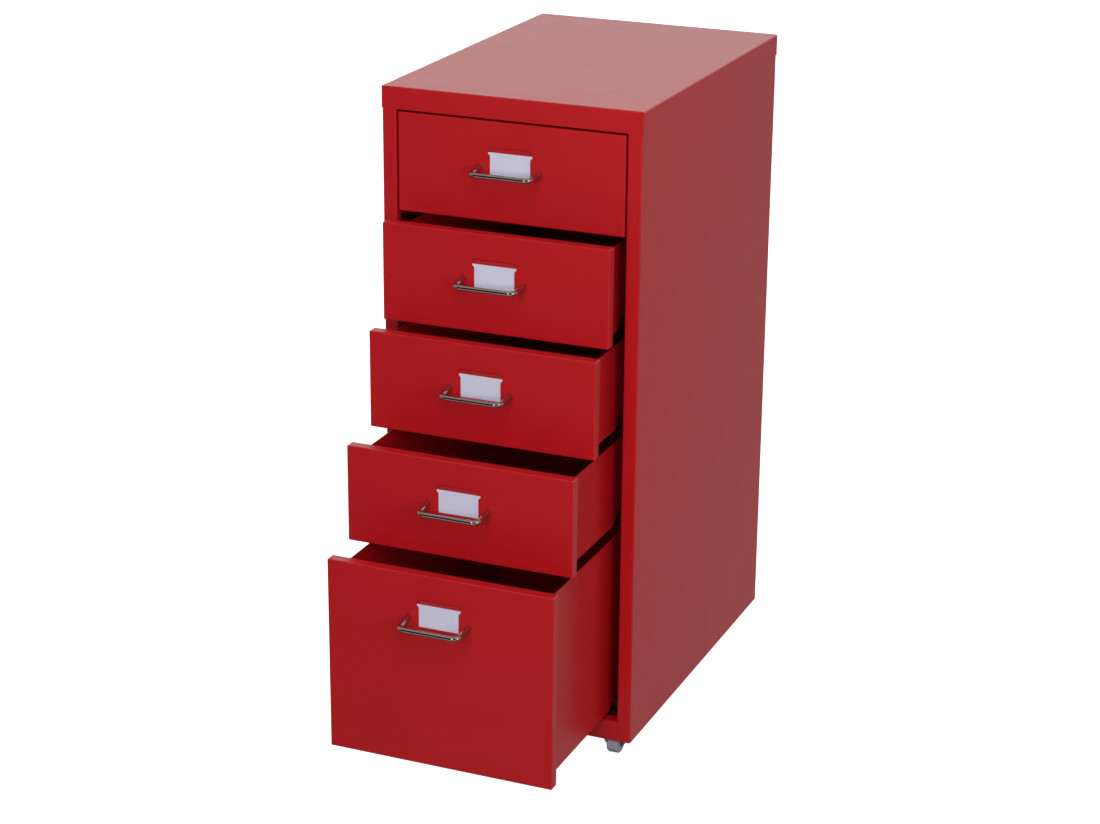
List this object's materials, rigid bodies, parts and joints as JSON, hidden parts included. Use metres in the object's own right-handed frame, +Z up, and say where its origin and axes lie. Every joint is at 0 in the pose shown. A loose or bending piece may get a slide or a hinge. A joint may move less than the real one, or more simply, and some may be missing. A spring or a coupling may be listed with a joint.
{
  "type": "mobile drawer pedestal",
  "caption": "Folded steel drawer pedestal on small swivel castors: shallow drawers over a double-height one, with bent-wire handles and label holders.",
  "frame": {"origin": "on the floor under the centre of the cabinet, amid the four castors' contact plane", "axes": "+Z up, +X to the right of a user facing the drawers, drawers open towards -Y"},
  "size_m": [0.28, 0.6089, 0.692],
  "materials": {
    "red_paint": "smooth semi-gloss powder coat",
    "chrome": "bright chrome plate on steel wire",
    "zinc_steel": "bright zinc plate",
    "grey_plastic": "smooth moulded grey plastic",
    "white_card": "plain uncoated card"
  },
  "bodies": {
    "cabinet": {"top_cap": "red_paint", "back_panel": "red_paint", "base_panel": "red_paint", "bottom_rail": "red_paint", "castor_screws": "zinc_steel", "left_side_panel": "red_paint", "left_keeper": "zinc_steel", "left_runner_1": "zinc_steel", "left_runner_2": "zinc_steel", "left_runner_3": "zinc_steel", "left_runner_4": "zinc_steel", "left_runner_5": "zinc_steel", "right_side_panel": "red_paint", "right_keeper": "zinc_steel", "right_runner_1": "zinc_steel", "right_runner_2": "zinc_steel", "right_runner_3": "zinc_steel", "right_runner_4": "zinc_steel", "right_runner_5": "zinc_steel", "front_left_castor_plate": "zinc_steel", "front_right_castor_plate": "zinc_steel", "rear_left_castor_plate": "zinc_steel", "rear_right_castor_plate": "zinc_steel"},
    "drawer_1": {"drawer_1_front": "red_paint", "drawer_1_body": "red_paint", "drawer_1_label_card": "white_card", "drawer_1_handle": "chrome", "drawer_1_handle_screws": "zinc_steel"},
    "drawer_2": {"drawer_2_front": "red_paint", "drawer_2_body": "red_paint", "drawer_2_label_card": "white_card", "drawer_2_handle": "chrome", "drawer_2_handle_screws": "zinc_steel"},
    "drawer_3": {"drawer_3_front": "red_paint", "drawer_3_body": "red_paint", "drawer_3_label_card": "white_card", "drawer_3_handle": "chrome", "drawer_3_handle_screws": "zinc_steel"},
    "drawer_4": {"drawer_4_front": "red_paint", "drawer_4_body": "red_paint", "drawer_4_label_card": "white_card", "drawer_4_handle": "chrome", "drawer_4_handle_screws": "zinc_steel"},
    "drawer_5": {"drawer_5_front": "red_paint", "drawer_5_body": "red_paint", "drawer_5_label_card": "white_card", "drawer_5_handle": "chrome", "drawer_5_handle_screws": "zinc_steel"},
    "front_left_swivel": {"front_left_castor_fork": "zinc_steel", "front_left_castor_axle": "zinc_steel"},
    "front_left_wheel": {"front_left_castor_wheel": "grey_plastic"},
    "front_right_swivel": {"front_right_castor_fork": "zinc_steel", "front_right_castor_axle": "zinc_steel"},
    "front_right_wheel": {"front_right_castor_wheel": "grey_plastic"},
    "rear_left_swivel": {"rear_left_castor_fork": "zinc_steel", "rear_left_castor_axle": "zinc_steel"},
    "rear_left_wheel": {"rear_left_castor_wheel": "grey_plastic"},
    "rear_right_swivel": {"rear_right_castor_fork": "zinc_steel", "rear_right_castor_axle": "zinc_steel"},
    "rear_right_wheel": {"rear_right_castor_wheel": "grey_plastic"}
  },
  "joints": [
    {"name": "drawer_1_slide", "type": "slide", "parent": "cabinet", "child": "drawer_1", "axis": [0, -1, 0], "range_m": [0, 0.3]},
    {"name": "drawer_2_slide", "type": "slide", "parent": "cabinet", "child": "drawer_2", "axis": [0, -1, 0], "range_m": [-0.038, 0.262]},
    {"name": "drawer_3_slide", "type": "slide", "parent": "cabinet", "child": "drawer_3", "axis": [0, -1, 0], "range_m": [-0.071, 0.229]},
    {"name": "drawer_4_slide", "type": "slide", "parent": "cabinet", "child": "drawer_4", "axis": [0, -1, 0], "range_m": [-0.124, 0.176]},
    {"name": "drawer_5_slide", "type": "slide", "parent": "cabinet", "child": "drawer_5", "axis": [0, -1, 0], "range_m": [-0.171, 0.129]},
    {"name": "front_left_castor_swivel", "type": "hinge", "parent": "cabinet", "child": "front_left_swivel", "pos_m": [-0.11747, -0.18347, 0.0297], "axis": [0, 0, 1], "continuous": true},
    {"name": "front_left_wheel_spin", "type": "hinge", "parent": "front_left_swivel", "child": "front_left_wheel", "pos_m": [-0.11747, -0.18947, 0.0125], "axis": [1, 0, 0], "continuous": true},
    {"name": "front_right_castor_swivel", "type": "hinge", "parent": "cabinet", "child": "front_right_swivel", "pos_m": [0.11747, -0.18347, 0.0297], "axis": [0, 0, 1], "continuous": true},
    {"name": "front_right_wheel_spin", "type": "hinge", "parent": "front_right_swivel", "child": "front_right_wheel", "pos_m": [0.11747, -0.18947, 0.0125], "axis": [1, 0, 0], "continuous": true},
    {"name": "rear_left_castor_swivel", "type": "hinge", "parent": "cabinet", "child": "rear_left_swivel", "pos_m": [-0.11747, 0.18247, 0.0297], "axis": [0, 0, 1], "continuous": true},
    {"name": "rear_left_wheel_spin", "type": "hinge", "parent": "rear_left_swivel", "child": "rear_left_wheel", "pos_m": [-0.11747, 0.17647, 0.0125], "axis": [1, 0, 0], "continuous": true},
    {"name": "rear_right_castor_swivel", "type": "hinge", "parent": "cabinet", "child": "rear_right_swivel", "pos_m": [0.11747, 0.18247, 0.0297], "axis": [0, 0, 1], "continuous": true},
    {"name": "rear_right_wheel_spin", "type": "hinge", "parent": "rear_right_swivel", "child": "rear_right_wheel", "pos_m": [0.11747, 0.17647, 0.0125], "axis": [1, 0, 0], "continuous": true}
  ]
}
